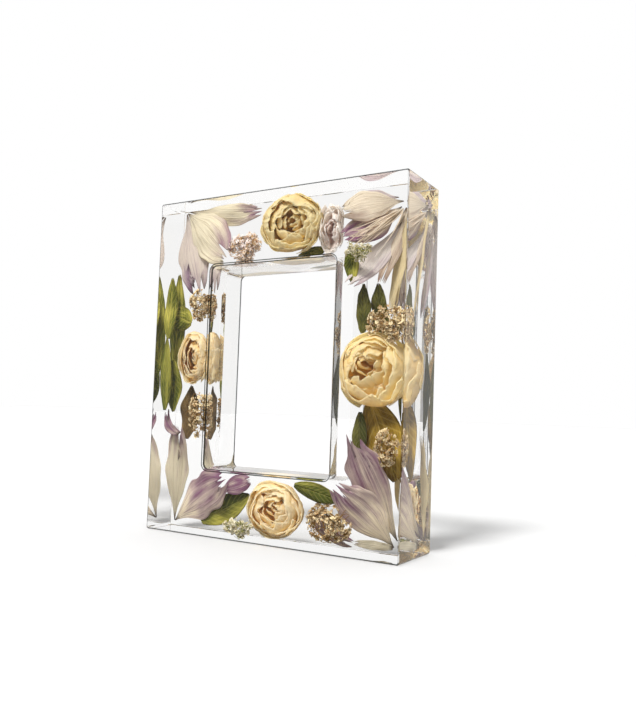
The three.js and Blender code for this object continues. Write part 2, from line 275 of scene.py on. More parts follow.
# long streaks that run from the base of a petal or leaf to its tip
def makeStreaks():
    inputs = {"Along": 0.0, "Across": 0.0, "Count": 12.0, "Tone": 0.0}
    group, given, out = newGroup("streaks", inputs, ["Streak", "Line"])
    waves, apart = 2.0, 37.0  # waves from base to tip, and how far apart two sheets' patterns lie
    place = addNode(group, "ShaderNodeCombineXYZ", Y=scaled(group, given["Along"], waves),
                    X=scaled(group, given["Across"], given["Count"]), Z=scaled(group, given["Tone"], apart))
    noise = addNode(group, "ShaderNodeTexNoise", Vector=place.outputs[0], Scale=1.0, Detail=4.0,
                    Roughness=0.65)
    group.links.new(noise.outputs["Fac"], out["Streak"])
    group.links.new(ranged(group, noise.outputs["Fac"], 0.53, 0.64), out["Line"])
    return group


# blotches, creases and fine crumple of anything dried
def makeMottle():
    inputs = {"Scale": 200.0, "Fine": 1500.0}
    group, given, out = newGroup("mottle", inputs, ["Blotch", "Crease", "Crumple"])
    place = group.nodes.new("ShaderNodeTexCoord").outputs["Object"]
    blotch = addNode(group, "ShaderNodeTexNoise", Vector=place, Scale=given["Scale"], Detail=3.0)
    crumple = addNode(group, "ShaderNodeTexNoise", Vector=place, Scale=given["Fine"], Detail=5.0,
                      Roughness=0.7)
    fold = addNode(group, "ShaderNodeTexNoise", Vector=place, Scale=scaled(group, given["Fine"], 0.3),
                   Detail=2.0, Distortion=0.6)
    ridge = math2(group, "ABSOLUTE", math2(group, "SUBTRACT", fold.outputs["Fac"], 0.5))
    crease = math2(group, "SUBTRACT", 1.0, scaled(group, ridge, 6.0), True)
    group.links.new(blotch.outputs["Fac"], out["Blotch"])
    group.links.new(crease, out["Crease"])
    group.links.new(crumple.outputs["Fac"], out["Crumple"])
    return group


streaks, mottle = makeStreaks(), makeMottle()


def setShine(shader, roughness, level):
    shader.inputs["Roughness"].default_value = roughness
    shader.inputs["Specular IOR Level"].default_value = level


# light passes through a thin dried sheet in its own colour
def thinSheet(tree, shader, output, colour, share):
    back = addNode(tree, "ShaderNodeBsdfTranslucent", Color=colour)
    mix = addNode(tree, "ShaderNodeMixShader", i0=share, i1=shader.outputs[0], i2=back.outputs[0])
    tree.links.new(colour, shader.inputs["Base Color"])
    tree.links.new(mix.outputs[0], output.inputs["Surface"])


def bumped(tree, height, shader, distance):
    bump = addNode(tree, "ShaderNodeBump", Height=height, Strength=0.6, Distance=distance)
    tree.links.new(bump.outputs[0], shader.inputs["Normal"])


def petalFinish(name, look):
    material, tree, shader, output = newMaterial(name)
    along, across, tone, blush, brown = meshValues(tree, "along", "across", "tone", "blush", "brown")
    lines = useGroup(tree, streaks, Along=along, Across=across, Count=look["lines"], Tone=tone)
    spots = useGroup(tree, mottle, Scale=170.0, Fine=1400.0)
    stain = math2(tree, "ADD", blush, spread(tree, lines["Streak"], 0.5, 0.9))
    stain = math2(tree, "ADD", stain, spread(tree, spots["Blotch"], 0.5, 0.5), True)
    colour = mixColour(tree, stain, tint(look["pale"]), tint(look["stain"]))
    colour = mixColour(tree, scaled(tree, lines["Line"], look["lineShare"]), colour, tint(look["line"]))
    foot = math2(tree, "SUBTRACT", 1.0, scaled(tree, along, 3.2), True)
    claw = math2(tree, "MULTIPLY", foot, lines["Line"])  # brown veins near the foot
    colour = mixColour(tree, math2(tree, "MAXIMUM", brown, claw), colour, tint(look["brown"]))
    setShine(shader, 0.62, 0.2)
    relief = math2(tree, "ADD", lines["Streak"], scaled(tree, spots["Crumple"], 0.6))
    bumped(tree, relief, shader, 0.0008)
    thinSheet(tree, shader, output, colour, look["through"])
    return material


petalLooks = {
    "petal_ivory": {
        "pale": "ece3cb", "stain": "a88494", "line": "a08a5a", "brown": "4c321a", "lines": 30.0,
        "lineShare": 0.5, "through": 0.42,
    },
    "petal_mauve": {
        "pale": "faeed6", "stain": "986c86", "line": "785063", "brown": "46301c", "lines": 22.0,
        "lineShare": 0.55, "through": 0.4,
    },
    "petal_lilac": {
        "pale": "ded2c6", "stain": "94788a", "line": "a8939a", "brown": "4c3622", "lines": 24.0,
        "lineShare": 0.55, "through": 0.42,
    },
    "petal_white": {
        "pale": "f8f1ea", "stain": "b79aa8", "line": "b3a2a8", "brown": "604733", "lines": 24.0,
        "lineShare": 0.5, "through": 0.45,
    },
    "petal_straw": {
        "pale": "f0e2ba", "stain": "c4a27c", "line": "b89c5c", "brown": "604733", "lines": 14.0,
        "lineShare": 0.5, "through": 0.45,
    },
    "petal_tan": {
        "pale": "f3e8d4", "stain": "a88878", "line": "a98c5c", "brown": "55391f", "lines": 26.0,
        "lineShare": 0.55, "through": 0.4,
    },
}
petalFinishes = {name: petalFinish(name, look) for name, look in petalLooks.items()}


veinPairs, veinSlant = 9.0, 2.2  # side veins of a leaf, in its colour and its relief
leafBrown = "5a431f"  # dried edges and tips


def leafFinish(name, look):
    material, tree, shader, output = newMaterial(name)
    along, across, tone, brown = meshValues(tree, "along", "across", "tone", "brown")
    aside = math2(tree, "ABSOLUTE", across)
    lines = useGroup(tree, streaks, Along=along, Across=across, Count=5.0, Tone=tone)
    spots = useGroup(tree, mottle, Scale=70.0, Fine=1200.0)
    row = math2(tree, "SUBTRACT", scaled(tree, along, veinPairs), scaled(tree, aside, veinSlant))
    ridge = math2(tree, "ABSOLUTE", math2(tree, "SINE", scaled(tree, row, math.pi)))
    rib = math2(tree, "POWER", ridge, 14.0)
    middle = math2(tree, "SUBTRACT", 1.0, scaled(tree, aside, 16.0), True)
    veins = math2(tree, "MAXIMUM", middle, scaled(tree, rib, 0.5))
    blotch, streak = spread(tree, spots["Blotch"], 0.4, 1.8), spread(tree, lines["Streak"], 0.5, 2.2)
    stain = math2(tree, "ADD", blotch, streak)
    half = math2(tree, "MULTIPLY", across, spread(tree, tone, 0.5, 1.4))  # one half is paler
    stain = math2(tree, "ADD", stain, half, True)
    colour = mixColour(tree, stain, tint(look["dark"]), tint(look["pale"]))
    colour = mixColour(tree, scaled(tree, veins, 0.55), colour, tint(look["vein"]))
    colour = mixColour(tree, brown, colour, tint(leafBrown))
    setShine(shader, 0.6, 0.1)
    bumped(tree, math2(tree, "SUBTRACT", scaled(tree, spots["Crumple"], 0.7), veins), shader, 0.0003)
    thinSheet(tree, shader, output, colour, 0.3)
    return material


leafLooks = {
    "leaf_olive": {"dark": "5e6420", "pale": "e4d868", "vein": "dccd6c"},
    "leaf_green": {"dark": "525a1c", "pale": "bdb552", "vein": "c6be66"},
    "leaf_dark": {"dark": "484a20", "pale": "868040", "vein": "9a945a"},
    "leaf_moss": {"dark": "4a5018", "pale": "a09a48", "vein": "b0a85c"},
    "leaf_tawny": {"dark": "80641c", "pale": "dcb850", "vein": "e2c66a"},
    "leaf_brown": {"dark": "57452a", "pale": "94784c", "vein": "a88c5c"},
}
leafFinishes = {name: leafFinish(name, look) for name, look in leafLooks.items()}


def roseFinish(name, look):
    material, tree, shader, output = newMaterial(name)
    along, across, tone = meshValues(tree, "along", "across", "tone")
    lines = useGroup(tree, streaks, Along=along, Across=across, Count=13.0, Tone=tone)
    spots = useGroup(tree, mottle, Scale=150.0, Fine=1100.0)
    # inner rows take the heart colour and each petal's foot the throat colour, partly the rose's own warmer
    # heart and partly painted shade deep in the head
    colour = mixColour(tree, tone, tint(look["heart"]), tint(look["outer"]))
    colour = mixColour(tree, spread(tree, lines["Streak"], 0.42, 1.6, True), colour, tint(look["warm"]))
    colour = mixColour(tree, ranged(tree, along, 0.55, 0.1), colour, tint(look["throat"]))
    # painted highlight: rims, creases and fine lines turn towards the pale rim colour, partly a paler rim
    # and partly light caught on rims and crepe wrinkles
    edge = math2(tree, "ADD", along, scaled(tree, spots["Blotch"], 0.4))
    creaseHighlight = math2(tree, "MAXIMUM", spots["Crease"], lines["Line"])
    pale = math2(tree, "MAXIMUM", ranged(tree, edge, 0.84, 1.16), scaled(tree, creaseHighlight, 0.3))
    colour = mixColour(tree, scaled(tree, pale, 0.85), colour, tint(look["rim"]))
    setShine(shader, 0.6, 0.2)
    folds = math2(tree, "ADD", scaled(tree, spots["Crease"], 0.7), lines["Streak"])
    bumped(tree, math2(tree, "ADD", folds, scaled(tree, spots["Crumple"], 0.5)), shader, 0.0008)
    thinSheet(tree, shader, output, colour, look["through"])
    return material


# rim: pale colour for rims and creases, partly a paler rim and partly painted highlight
roseLooks = {
    # heart and throat: deeper colours for the inner rows and petal feet, partly painted shade deep in the
    # head
    "rose_cream": {
        "heart": "fee8a6", "outer": "fef0c4", "warm": "feeab0", "throat": "fae2a0", "rim": "fef8e4",
        "through": 0.64,
    },
    "rose_gold": {
        "heart": "fee798", "outer": "fef0ba", "warm": "feeaa6", "throat": "fae096", "rim": "fef7da",
        "through": 0.66,
    },
    "rose_tan": {
        "heart": "f4dc8e", "outer": "f5e4aa", "warm": "f3de96", "throat": "eed486", "rim": "fbf4d4",
        "through": 0.6,
    },
    "bloom_pink": {
        "heart": "e6d0c8", "outer": "fefaf4", "warm": "faf0e6", "throat": "d8bcb4", "rim": "fffdfa",
        "through": 0.6,
    },
}
roseFinishes = {name: roseFinish(name, look) for name, look in roseLooks.items()}


def floretFinish(name, look):
    material, tree, shader, output = newMaterial(name)
    tone, stem = meshValues(tree, "tone", "stem")
    spots = useGroup(tree, mottle, Scale=500.0, Fine=2500.0)
    shade = math2(tree, "ADD", tone, spread(tree, spots["Blotch"], 0.5, 0.5), True)
    colour = mixColour(tree, shade, tint(look["dark"]), tint(look["pale"]))
    colour = mixColour(tree, stem, colour, tint(look["stem"]))
    setShine(shader, 0.7, 0.2)
    bumped(tree, spots["Crumple"], shader, 0.0002)
    thinSheet(tree, shader, output, colour, 0.42)
    return material


floretLooks = {
    "floret_straw": {"dark": "bb8636", "pale": "fff2cc", "stem": "9a7436"},
    "floret_pale": {"dark": "cbbb78", "pale": "fdf8e6", "stem": "a9a55c"},
    "floret_blush": {"dark": "f2d8ac", "pale": "fff8f4", "stem": "dcb880"},
}
floretFinishes = {name: floretFinish(name, look) for name, look in floretLooks.items()}


# painted edge shade: a near-black tint for the rounded edges, standing in for dark surroundings reflected
# in them
resinLook = {
    "index": 1.5, "glare": 0.3, "paintedEdgeShade": (0.02, 0.022, 0.022, 1), "shade": (0.96, 0.96, 0.955, 1),
    "haze": (0.86, 0.854, 0.842, 1), "density": 14.0,
}


def resinFinish(look):
    material, tree, shader, output = newMaterial("clearResin")
    # painted edge shade mixed into the resin's colour on the rounded edges
    paintedEdgeShade = mixColour(tree, meshValues(tree, "paintedEdgeShade")[0], (1, 1, 1, 1), look["paintedEdgeShade"])
    tree.links.new(paintedEdgeShade, shader.inputs["Base Color"])
    shader.inputs["Roughness"].default_value = 0.0
    shader.inputs["IOR"].default_value = look["index"]
    shader.inputs["Transmission Weight"].default_value = 1.0
    shader.inputs["Specular Tint"].default_value = [look["glare"]] * 3 + [1]  # polished, so little glare
    path = tree.nodes.new("ShaderNodeLightPath")
    clear = addNode(tree, "ShaderNodeBsdfTransparent", Color=look["shade"])
    mix = addNode(tree, "ShaderNodeMixShader", i0=path.outputs["Is Shadow Ray"], i1=shader.outputs[0],
                  i2=clear.outputs[0])
    tree.links.new(mix.outputs[0], output.inputs["Surface"])
    haze = addNode(tree, "ShaderNodeVolumeAbsorption", Color=look["haze"], Density=look["density"])
    tree.links.new(haze.outputs[0], output.inputs["Volume"])
    return material


print("finishes mixed")


# the casting itself, one clear body from ring to ring
def blockRing(halfWide, low, high, radius, depth, steps):
    ring = []
    for cx, cz, start in ((1, 0, -0.5), (1, 1, 0), (0, 1, 0.5), (0, 0, 1)):
        for k in range(steps + 1):
            angle = math.pi * (start + 0.5 * k / steps)
            x = (halfWide - radius) * (1 if cx else -1) + radius * math.cos(angle)
            z = (high - radius if cz else low + radius) + radius * math.sin(angle)
            ring.append((x, depth, z))
    return ring


def castBlock():
    size, rings, shadedStrips = block, [], []
    bends, steps = 4, 8  # strips across a rounded edge and along a rounded corner
    turns = [0.5 * math.pi * k / bends for k in range(bends + 1)]
    flush, seat = (0, 0), (size["seatAside"], size["seatAbove"])

    def rounded(radius, order):
        return [(radius * (1 - math.sin(a)), radius * (1 - math.cos(a))) for a in order]

    def outer(inset, depth, shaded):
        rings.append(blockRing(size["halfWide"] - inset, inset, size["tall"] - inset,
                               max(size["corner"] - inset, 0.3), depth, steps))
        shadedStrips.append(shaded)

    def inner(room, grow, depth, shaded):
        rings.append(blockRing(size["openHalf"] + room[0] + grow, size["openLow"] - room[1] - grow,
                               size["openHigh"] + room[1] + grow, size["openCorner"] + grow, depth, steps))
        shadedStrips.append(shaded)

    # the strip after each ring gets painted dark shade or is left clear: a near-black tint on the rounded
    # edges stands in for dark surroundings reflected in the polished edge
    middle, sides, late = (1, 1, 1, 0, 0), (1, 1, 0, 1, 0), (0, 0, 1, 1, 1)
    for (inset, rise), shaded in zip(rounded(size["edge"], turns), middle):
        outer(inset, rise, shaded)
    for inset, rise in rounded(size["farEdge"], turns[::-1]):
        outer(inset, size["deep"] - rise, 0)
    for (inset, rise), shaded in zip(rounded(size["backEdge"], turns), late):
        inner(seat, inset, size["deep"] - rise, shaded)
    inner(seat, 0, size["deep"] - 2 * size["backEdge"], 0)
    inner(seat, 0, size["lip"], 0)
    for inset, rise in rounded(size["seatEdge"], turns):
        inner(flush, inset, size["lip"] - rise, 0)
    for (inset, rise), shaded in zip(rounded(size["openEdge"], turns[::-1]), sides):
        inner(flush, inset, rise, shaded)
    count = len(rings[0])
    index = np.arange(len(rings) * count).reshape(len(rings), count)
    nextRing, nextPoint = np.roll(index, -1, 0), np.roll(index, -1, 1)
    faces = np.stack([nextRing, np.roll(nextRing, -1, 1), nextPoint, index], -1).reshape(-1, 4)
    # painted shade on the rounded edges and the four standing corners; the right edge gets less because it
    # is lit from behind
    paintedEdgeShade = np.repeat(np.array(shadedStrips, float)[:, None], count, 1)
    bend = np.arange(count) % (steps + 1)
    paintedEdgeShade[bends] = (bend >= 2) & (bend < steps - 2)  # the four standing corners
    paintedEdgeShade[:bends, steps] *= 0.4  # the right edge is lit from behind
    casting = Pieces()
    casting.add(np.array(rings).reshape(-1, 3), faces)
    piece = casting.build("clear_block", resinFinish(resinLook), smooth=False)
    layer = piece.data.attributes.new("paintedEdgeShade", "FLOAT", "FACE")
    layer.data.foreach_set("value", paintedEdgeShade.reshape(-1).astype(np.float32))
    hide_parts("resin_front", "resin_back")


castBlock()
print("block cast")

# half width along a sheet: least share, start, reach and the two powers of its curve
curves = {
    "petal": (0.1, 0.04, 0.9, 1.25, 0.8),
    "leaf": (0.08, 0.03, 0.95, 0.9, 0.9),
    "strap": (0.3, 0.05, 0.9, 1, 0.6),
}


def shareAt(kind, u):
    least, start, reach, skew, fullness = curves[kind]
    return least + (1 - least) * np.sin(math.pi * (start + reach * u) ** skew) ** fullness


def flatGrid(rows, cols):
    return np.meshgrid(np.linspace(0, 1, rows), np.linspace(-1, 1, cols), indexing="ij")


def bentPath(start, end, bend, count):
    return [start * (1 - t) + end * t + bend * 4 * t * (1 - t) for t in np.linspace(0, 1, count)]


def sheetGrid(spec, draw, rows=66, cols=36):
    u, v = flatGrid(rows, cols)
    (baseX, baseD, baseZ), (tipX, tipD, tipZ) = spec["base"], spec["tip"]
    runX, runZ = tipX - baseX, tipZ - baseZ
    length = math.hypot(runX, runZ)
    fray = spec["fray"]
    notch = np.abs(ripple(v * 0.5, 0 * v, draw, 5, 0.6, 4)) * fray  # uneven tip
    for _ in range(spec["splits"]):
        notch = notch + draw.uniform(0.6, 2.2) * fray * np.exp(-((v - draw.uniform(-0.8, 0.8)) / 0.06) ** 2)
    uu = u * (1 - notch * u ** 4)
    share = shareAt(spec["curve"], u) * (1 - spec["claw"] * np.clip(1 - u / 0.4, 0, 1) ** 1.3)
    edge = 1 + (0.4 * fray * ripple(u, v * 0, draw, 6, 1, 5) - 0.5 * fray) * np.abs(v) ** 3
    arch = 4 * uu * (1 - uu)
    aside = v * 0.5 * spec["width"] * share * edge + spec["bend"] * arch
    depth = baseD + (tipD - baseD) * uu + spec["bow"] * arch + spec["cup"] * v ** 2 * share
    flutter = ripple(u, v * 0.3, draw, 5, 0.7, 2.6) * (0.25 + 0.75 * np.abs(v) ** 1.5)
    depth = depth + spec["wave"] * flutter * share
    pleats = np.sin(math.pi * 10 * v + 1.3 * ripple(u, v * 0, draw, 3, 0.3, 1.2))
    depth = depth + spec["pleat"] * pleats * share
    x = baseX + runX * uu - runZ / length * aside
    z = baseZ + runZ * uu + runX / length * aside
    return u, v, np.stack([x, depth, z], -1)


# corner petals: base and tip as (across, depth, up) in mm
# blush is how mauve the base, the middle, the tip and one side are
petals = {
    "petal_tl_broad": {
        "slot": "petal_ivory", "base": (-74, 25, 196.3), "tip": (-34.5, 8, 163.5), "width": 28,
        "cup": 2, "bow": -2, "bend": 1, "blush": (-0.3, -0.15, 0.5, 0.6), "wave": 1.2,
    },
    "petal_tl_long": {
        "slot": "petal_ivory", "base": (-72, 24, 197), "tip": (-12.5, 14, 190.5), "width": 14, "cup": 1,
        "bow": 1, "bend": -2, "blush": (-0.3, -0.25, 0.95, 0.0),
    },
    "petal_tl_low": {
        "slot": "petal_lilac", "base": (-75, 25.5, 196), "tip": (-56, 12, 142.5), "width": 25,
        "cup": 1.5, "bow": -2, "bend": 0, "blush": (-0.35, -0.1, 0.7, -0.35), "fray": 0.14,
        "tipBrown": 0.6,
    },
    "petal_tr_mauve": {
        "slot": "petal_mauve", "base": (70, 36, 187), "tip": (43.5, 7, 169), "width": 19, "cup": 2,
        "bow": -1, "bend": 2, "blush": (0.0, 0.5, 0.95, 0.0), "threads": 22, "threadTip": (53, 5, 167),
    },
    "petal_tr_tan": {
        "slot": "petal_tan", "base": (71, 36, 190), "tip": (43, 5, 182), "width": 18, "cup": 1.5,
        "bow": -1, "bend": -1, "blush": (0.1, 0.0, 0.2, 0.6),
    },
    "petal_tr_lilac": {
        "slot": "petal_lilac", "look": "petal_white", "base": (71, 33, 178), "tip": (48.5, 5, 142),
        "width": 14, "cup": 2, "bow": 1, "bend": 2, "blush": (0.0, 0.0, 0.3, 0.3),
    },
    "petal_tr_back": {
        "slot": "petal_lilac", "look": "petal_white", "base": (68, 36.5, 192.5), "tip": (42, 22, 190),
        "width": 11, "cup": 1, "bow": 1, "bend": -1, "blush": (0.2, 0.4, 0.6, 0.0),
    },
    "petal_tr_brown": {
        "slot": "petal_tan", "curve": "strap", "base": (74, 36, 186), "tip": (65, 14, 143), "width": 9,
        "cup": 1, "bow": 1, "bend": 0, "blush": (0.1, 0.3, 0.7, 0.0),
    },
    "petal_tr_yellow": {
        "slot": "petal_ivory", "look": "petal_straw", "curve": "strap", "base": (79, 31, 187),
        "tip": (69, 21, 126), "width": 7, "cup": 1, "bow": 0, "bend": -1,
        "blush": (-0.3, -0.3, -0.2, 0.0),
    },
    "petal_tr_side": {
        "slot": "petal_mauve", "look": "petal_white", "base": (79, 37, 182), "tip": (72, 29, 126),
        "width": 13, "cup": 2, "bow": 1, "bend": -2, "blush": (-0.1, 0.15, 0.5, 0.0),
    },
    "petal_bl_tall": {
        "slot": "petal_ivory", "base": (-76.5, 31, 4), "tip": (-70, 15, 63), "width": 18.5, "cup": 2,
        "bow": -1, "bend": 0, "blush": (-0.3, -0.15, 0.7, 0.0),
    },
    "petal_bl_broad": {
        "slot": "petal_mauve", "base": (-76, 31, 4), "tip": (-28, 8, 34), "width": 26, "cup": 2.5,
        "bow": -2, "bend": 1, "blush": (-0.25, 0.55, 0.95, 0.25), "wave": 1.2,
    },
    "petal_bl_hook": {
        "slot": "petal_mauve", "curve": "strap", "base": (-67, 12, 58), "tip": (-79, 14, 72),
        "width": 7, "cup": 1, "bow": 0, "bend": 4, "blush": (0.6, 0.8, 0.9, 0.0),
    },
    "petal_bl_folded": {
        "slot": "petal_mauve", "base": (-36, 15, 26), "tip": (-13, 13, 34), "width": 12, "cup": 1,
        "bow": 0, "bend": 0, "blush": (0.9, 0.9, 0.9, 0.0), "tipBrown": 0.4,
    },
    "petal_br_mauve": {
        "slot": "petal_mauve", "base": (71, 35, 4.5), "tip": (43.5, 6, 36), "width": 24, "cup": 2,
        "bow": -2, "bend": -2, "blush": (-0.6, 0.3, 0.85, 0.1), "wave": 1.2,
    },
    "petal_br_torn": {
        "slot": "petal_lilac", "look": "petal_mauve", "base": (73, 35, 8), "tip": (52, 5, 65),
        "width": 23, "cup": 0.5, "bow": -3, "bend": 0, "blush": (-0.5, 0.4, 0.9, 0.0), "fray": 0.16,
    },
    "petal_br_side": {
        "slot": "petal_ivory", "look": "petal_straw", "base": (77, 36, 6), "tip": (75.5, 30, 64),
        "width": 12, "cup": 2, "bow": 1, "bend": 0, "blush": (-0.3, -0.2, 0.2, 0.0),
    },
    "petal_br_thin": {
        "slot": "petal_ivory", "curve": "strap", "base": (71, 33, 4.5), "tip": (52, 20, 6), "width": 5,
        "cup": 0.5, "bow": 0, "bend": 0, "blush": (-0.1, -0.1, 0.0, 0.0), "wave": 0.4,
    },
    "petal_br_low": {
        "slot": "petal_mauve", "curve": "strap", "base": (23, 21, 17), "tip": (52, 20, 5), "width": 8,
        "cup": 1, "bow": 0, "bend": -2, "blush": (0.6, 0.6, 0.5, 0.0), "wave": 0.5,
    },
}


petalForm = {
    "curve": "petal", "splits": 2, "fray": 0.09, "wave": 0.9, "pleat": 0.13, "thick": 0.3, "tipBrown": 0.15,
    "threads": 0,
}


def makePetal(node, given):
    draw = np.random.default_rng(seedOf(node))
    spec = {**petalForm, **given}
    spec["claw"] = 0.86 if spec["curve"] == "petal" else 0.2  # how far it narrows to its foot
    u, v, grid = sheetGrid(spec, draw)
    first, middle, last, side = spec["blush"]
    blush = np.interp(u, [0, 0.5, 0.82, 1], [first, middle, 0.5 * (middle + last), last]) + side * v * u
    blush = blush + 0.14 * ripple(u, v, draw, 5, 0.6, 2.4)
    brown = np.clip(1.1 - u / 0.1, 0, 0.9) + spec["tipBrown"] * np.clip((u - 0.93) / 0.07, 0, 1)
    pieces = Pieces()
    pieces.addShell(grid, spec["thick"], along=u, across=v, blush=blush, brown=brown, tone=draw.uniform())
    for _ in range(spec["threads"]):
        far = np.array(spec["threadTip"]) + draw.normal(0, 1, 3) * (4.5, 1.5, 4.0)
        near = np.array(spec["base"]) + (2, -4, -2)
        path = bentPath(near, far, draw.normal(0, 1.5, 3), 10)
        pieces.addTube(path, np.linspace(0.4, 0.2, 10), 4, along=0.5, across=0.0, blush=-0.6, brown=0.0,
                       tone=0.3)
    sealIn(pieces, node, petalFinishes[spec.get("look", spec["slot"])])


for node, spec in petals.items():
    makePetal(node, spec)
print("petals laid:", len(petals))

leaves = {
    "leaf_left_upper": {
        "slot": "leaf_olive", "base": (-77.5, 8, 116), "tip": (-76, 8, 154), "width": 10, "cup": 1.5,
    },
    "leaf_left_yellow": {
        "slot": "leaf_olive", "base": (-76.3, 20, 92), "tip": (-75.5, 18, 157), "width": 12.5, "cup": 1,
    },
    "leaf_left_lower": {
        "slot": "leaf_green", "base": (-76.5, 15, 103), "tip": (-73.5, 13.5, 71), "width": 13,
        "cup": 1.5,
    },
    "leaf_left_broad": {
        "slot": "leaf_olive", "base": (-62.5, 14.5, 126), "tip": (-80, 13, 132), "width": 15,
        "cup": 1.5,
    },
    "leaf_left_side": {
        "slot": "leaf_green", "base": (-77.3, 7, 72), "tip": (-77.5, 6, 117), "width": 9, "cup": 1,
    },
    "leaf_left_dark": {
        "slot": "leaf_dark", "look": "leaf_brown", "base": (-65, 19, 55), "tip": (-61.5, 18, 88),
        "width": 14, "cup": 1.5, "fray": 0.03, "wave": 1.8,
    },
    "leaf_bottom_left": {
        "slot": "leaf_green", "base": (-51, 21, 6.5), "tip": (-14, 16, 25.5), "width": 16, "cup": 1.5,
        "bow": 1,
    },
    "leaf_bottom_right": {
        "slot": "leaf_green", "look": "leaf_moss", "base": (18, 9, 34), "tip": (47.5, 11, 27.5),
        "width": 10, "cup": 1,
    },
    "leaf_right_dark": {
        "slot": "leaf_dark", "base": (54.5, 16.6, 117), "tip": (54.2, 16.6, 144), "width": 8.6,
        "cup": 1, "fray": 0.06, "wave": 1.2,
    },
    "leaf_right_mid": {
        "slot": "leaf_dark", "base": (63, 24, 114), "tip": (62, 20, 144), "width": 11, "cup": 1,
        "fray": 0.06, "wave": 1.2,
    },
    "leaf_right_corner": {
        "slot": "leaf_green", "base": (48, 10, 164), "tip": (50, 9, 143), "width": 9, "cup": 1,
    },
    "leaf_right_olive": {
        "slot": "leaf_olive", "look": "leaf_tawny", "base": (58, 23, 82), "tip": (76, 18, 40),
        "width": 23, "cup": 2,
    },
    "leaf_right_inner": {
        "slot": "leaf_dark", "base": (54.6, 16.8, 75), "tip": (54, 17, 46), "width": 8.6, "cup": 1,
    },
    "leaf_right_back": {
        "slot": "leaf_dark", "base": (76, 33, 66), "tip": (77, 34, 108), "width": 11, "cup": 2,
    },
    "leaf_top": {
        "slot": "leaf_green", "base": (6, 33, 164), "tip": (27, 30, 167), "width": 7, "cup": 1,
    },
}


leafForm = {
    "curve": "leaf", "claw": 0, "bow": 0, "bend": 0, "fray": 0.02, "splits": 0, "wave": 0.7, "pleat": 0.0,
    "thick": 0.35,
}


def makeLeaf(node, given):
    draw = np.random.default_rng(seedOf(node))
    spec = {**leafForm, **given}
    u, v, grid = sheetGrid(spec, draw, 56, 25)
    aside = np.abs(v)
    grid[..., 1] += 0.5 * np.clip(1 - aside * 6, 0, 1)  # midrib groove
    quilt = np.abs(np.sin(math.pi * (veinPairs * u - veinSlant * aside)))
    grid[..., 1] += 0.16 * quilt * aside  # raised between the side veins
    brown = np.clip((aside - 0.86) / 0.14, 0, 1) * 0.4 + np.clip((u - 0.9) / 0.1, 0, 1) * 0.4
    pieces = Pieces()
    pieces.addShell(grid, spec["thick"], along=u, across=v, brown=brown, tone=draw.uniform())
    sealIn(pieces, node, leafFinishes[spec.get("look", spec["slot"])])


for node, spec in leaves.items():
    makeLeaf(node, spec)
print("leaves laid:", len(leaves))

# rows of petals from the outside in: how many, size, half angle, closing angle and depth of the rim
roseRows = ((5, 1.0, 52, 12, 1.6), (5, 0.96, 56, 27, 0.8), (4, 0.92, 58, 40, 0.2), (4, 0.87, 58, 51, 0.0),
            (4, 0.76, 54, 54, 0.8), (4, 0.62, 50, 57, 1.6), (3, 0.46, 58, 62, 2.4), (3, 0.3, 60, 70, 3.2),
            (2, 0.16, 80, 78, 3.8))
bloomRows = ((5, 1.0, 46, 18, 0.0), (4, 0.86, 50, 32, 0.5), (4, 0.66, 55, 44, 1.0), (3, 0.42, 60, 56, 2.0),
             (2, 0.22, 70, 70, 3.0))

# heads: centre (across, up), radii, depths of face, rim and back, tilt of the rim and lean of the back
roses = {
    "rose_top": {
        "slot": "rose_cream", "look": "rose_tan", "centre": (8.5, 180), "radius": (20.5, 18.6),
        "face": 3.5, "rim": 12, "back": 29, "tilt": 1, "lean": (2, 1), "heart": (0.05, 0.08), "lobe": 1,
        "turn": 1.2, "hollow": 1.2,
    },
    "rose_left": {
        "slot": "rose_cream", "centre": (-58.3, 104.5), "radius": (12.9, 17.2), "face": 5, "rim": 13,
        "back": 27, "tilt": -5, "lean": (-10, 0), "heart": (0.1, 0.08), "lobe": 0.5, "turn": 0.4,
        "hollow": 0.3,
    },
    "rose_right": {
        "slot": "rose_gold", "centre": (62, 96.5), "radius": (18.3, 21), "face": 3.5, "rim": 13,
        "back": 29, "tilt": 8, "lean": (9, 0), "heart": (-0.22, 0.22), "lobe": 1, "turn": 2.6,
        "hollow": 0.2,
    },
    "rose_bottom": {
        "slot": "rose_cream", "centre": (3.5, 19.5), "radius": (18.5, 16.5), "face": 3.5, "rim": 13,
        "back": 29, "tilt": 1, "lean": (2, 0), "heart": (0.1, 0.05), "lobe": 1.2, "turn": 4.0,
        "hollow": 0.7,
    },
    "pale_bloom": {
        "slot": "bloom_pink", "centre": (34, 175.5), "radius": (8.5, 15), "face": 8, "rim": 14,
        "back": 23, "tilt": 0, "lean": (1, 0), "heart": (0.1, -0.1), "lobe": 1.5, "turn": 0.0,
        "hollow": 0.6, "ruffle": 2.6, "rows": bloomRows,
    },
}


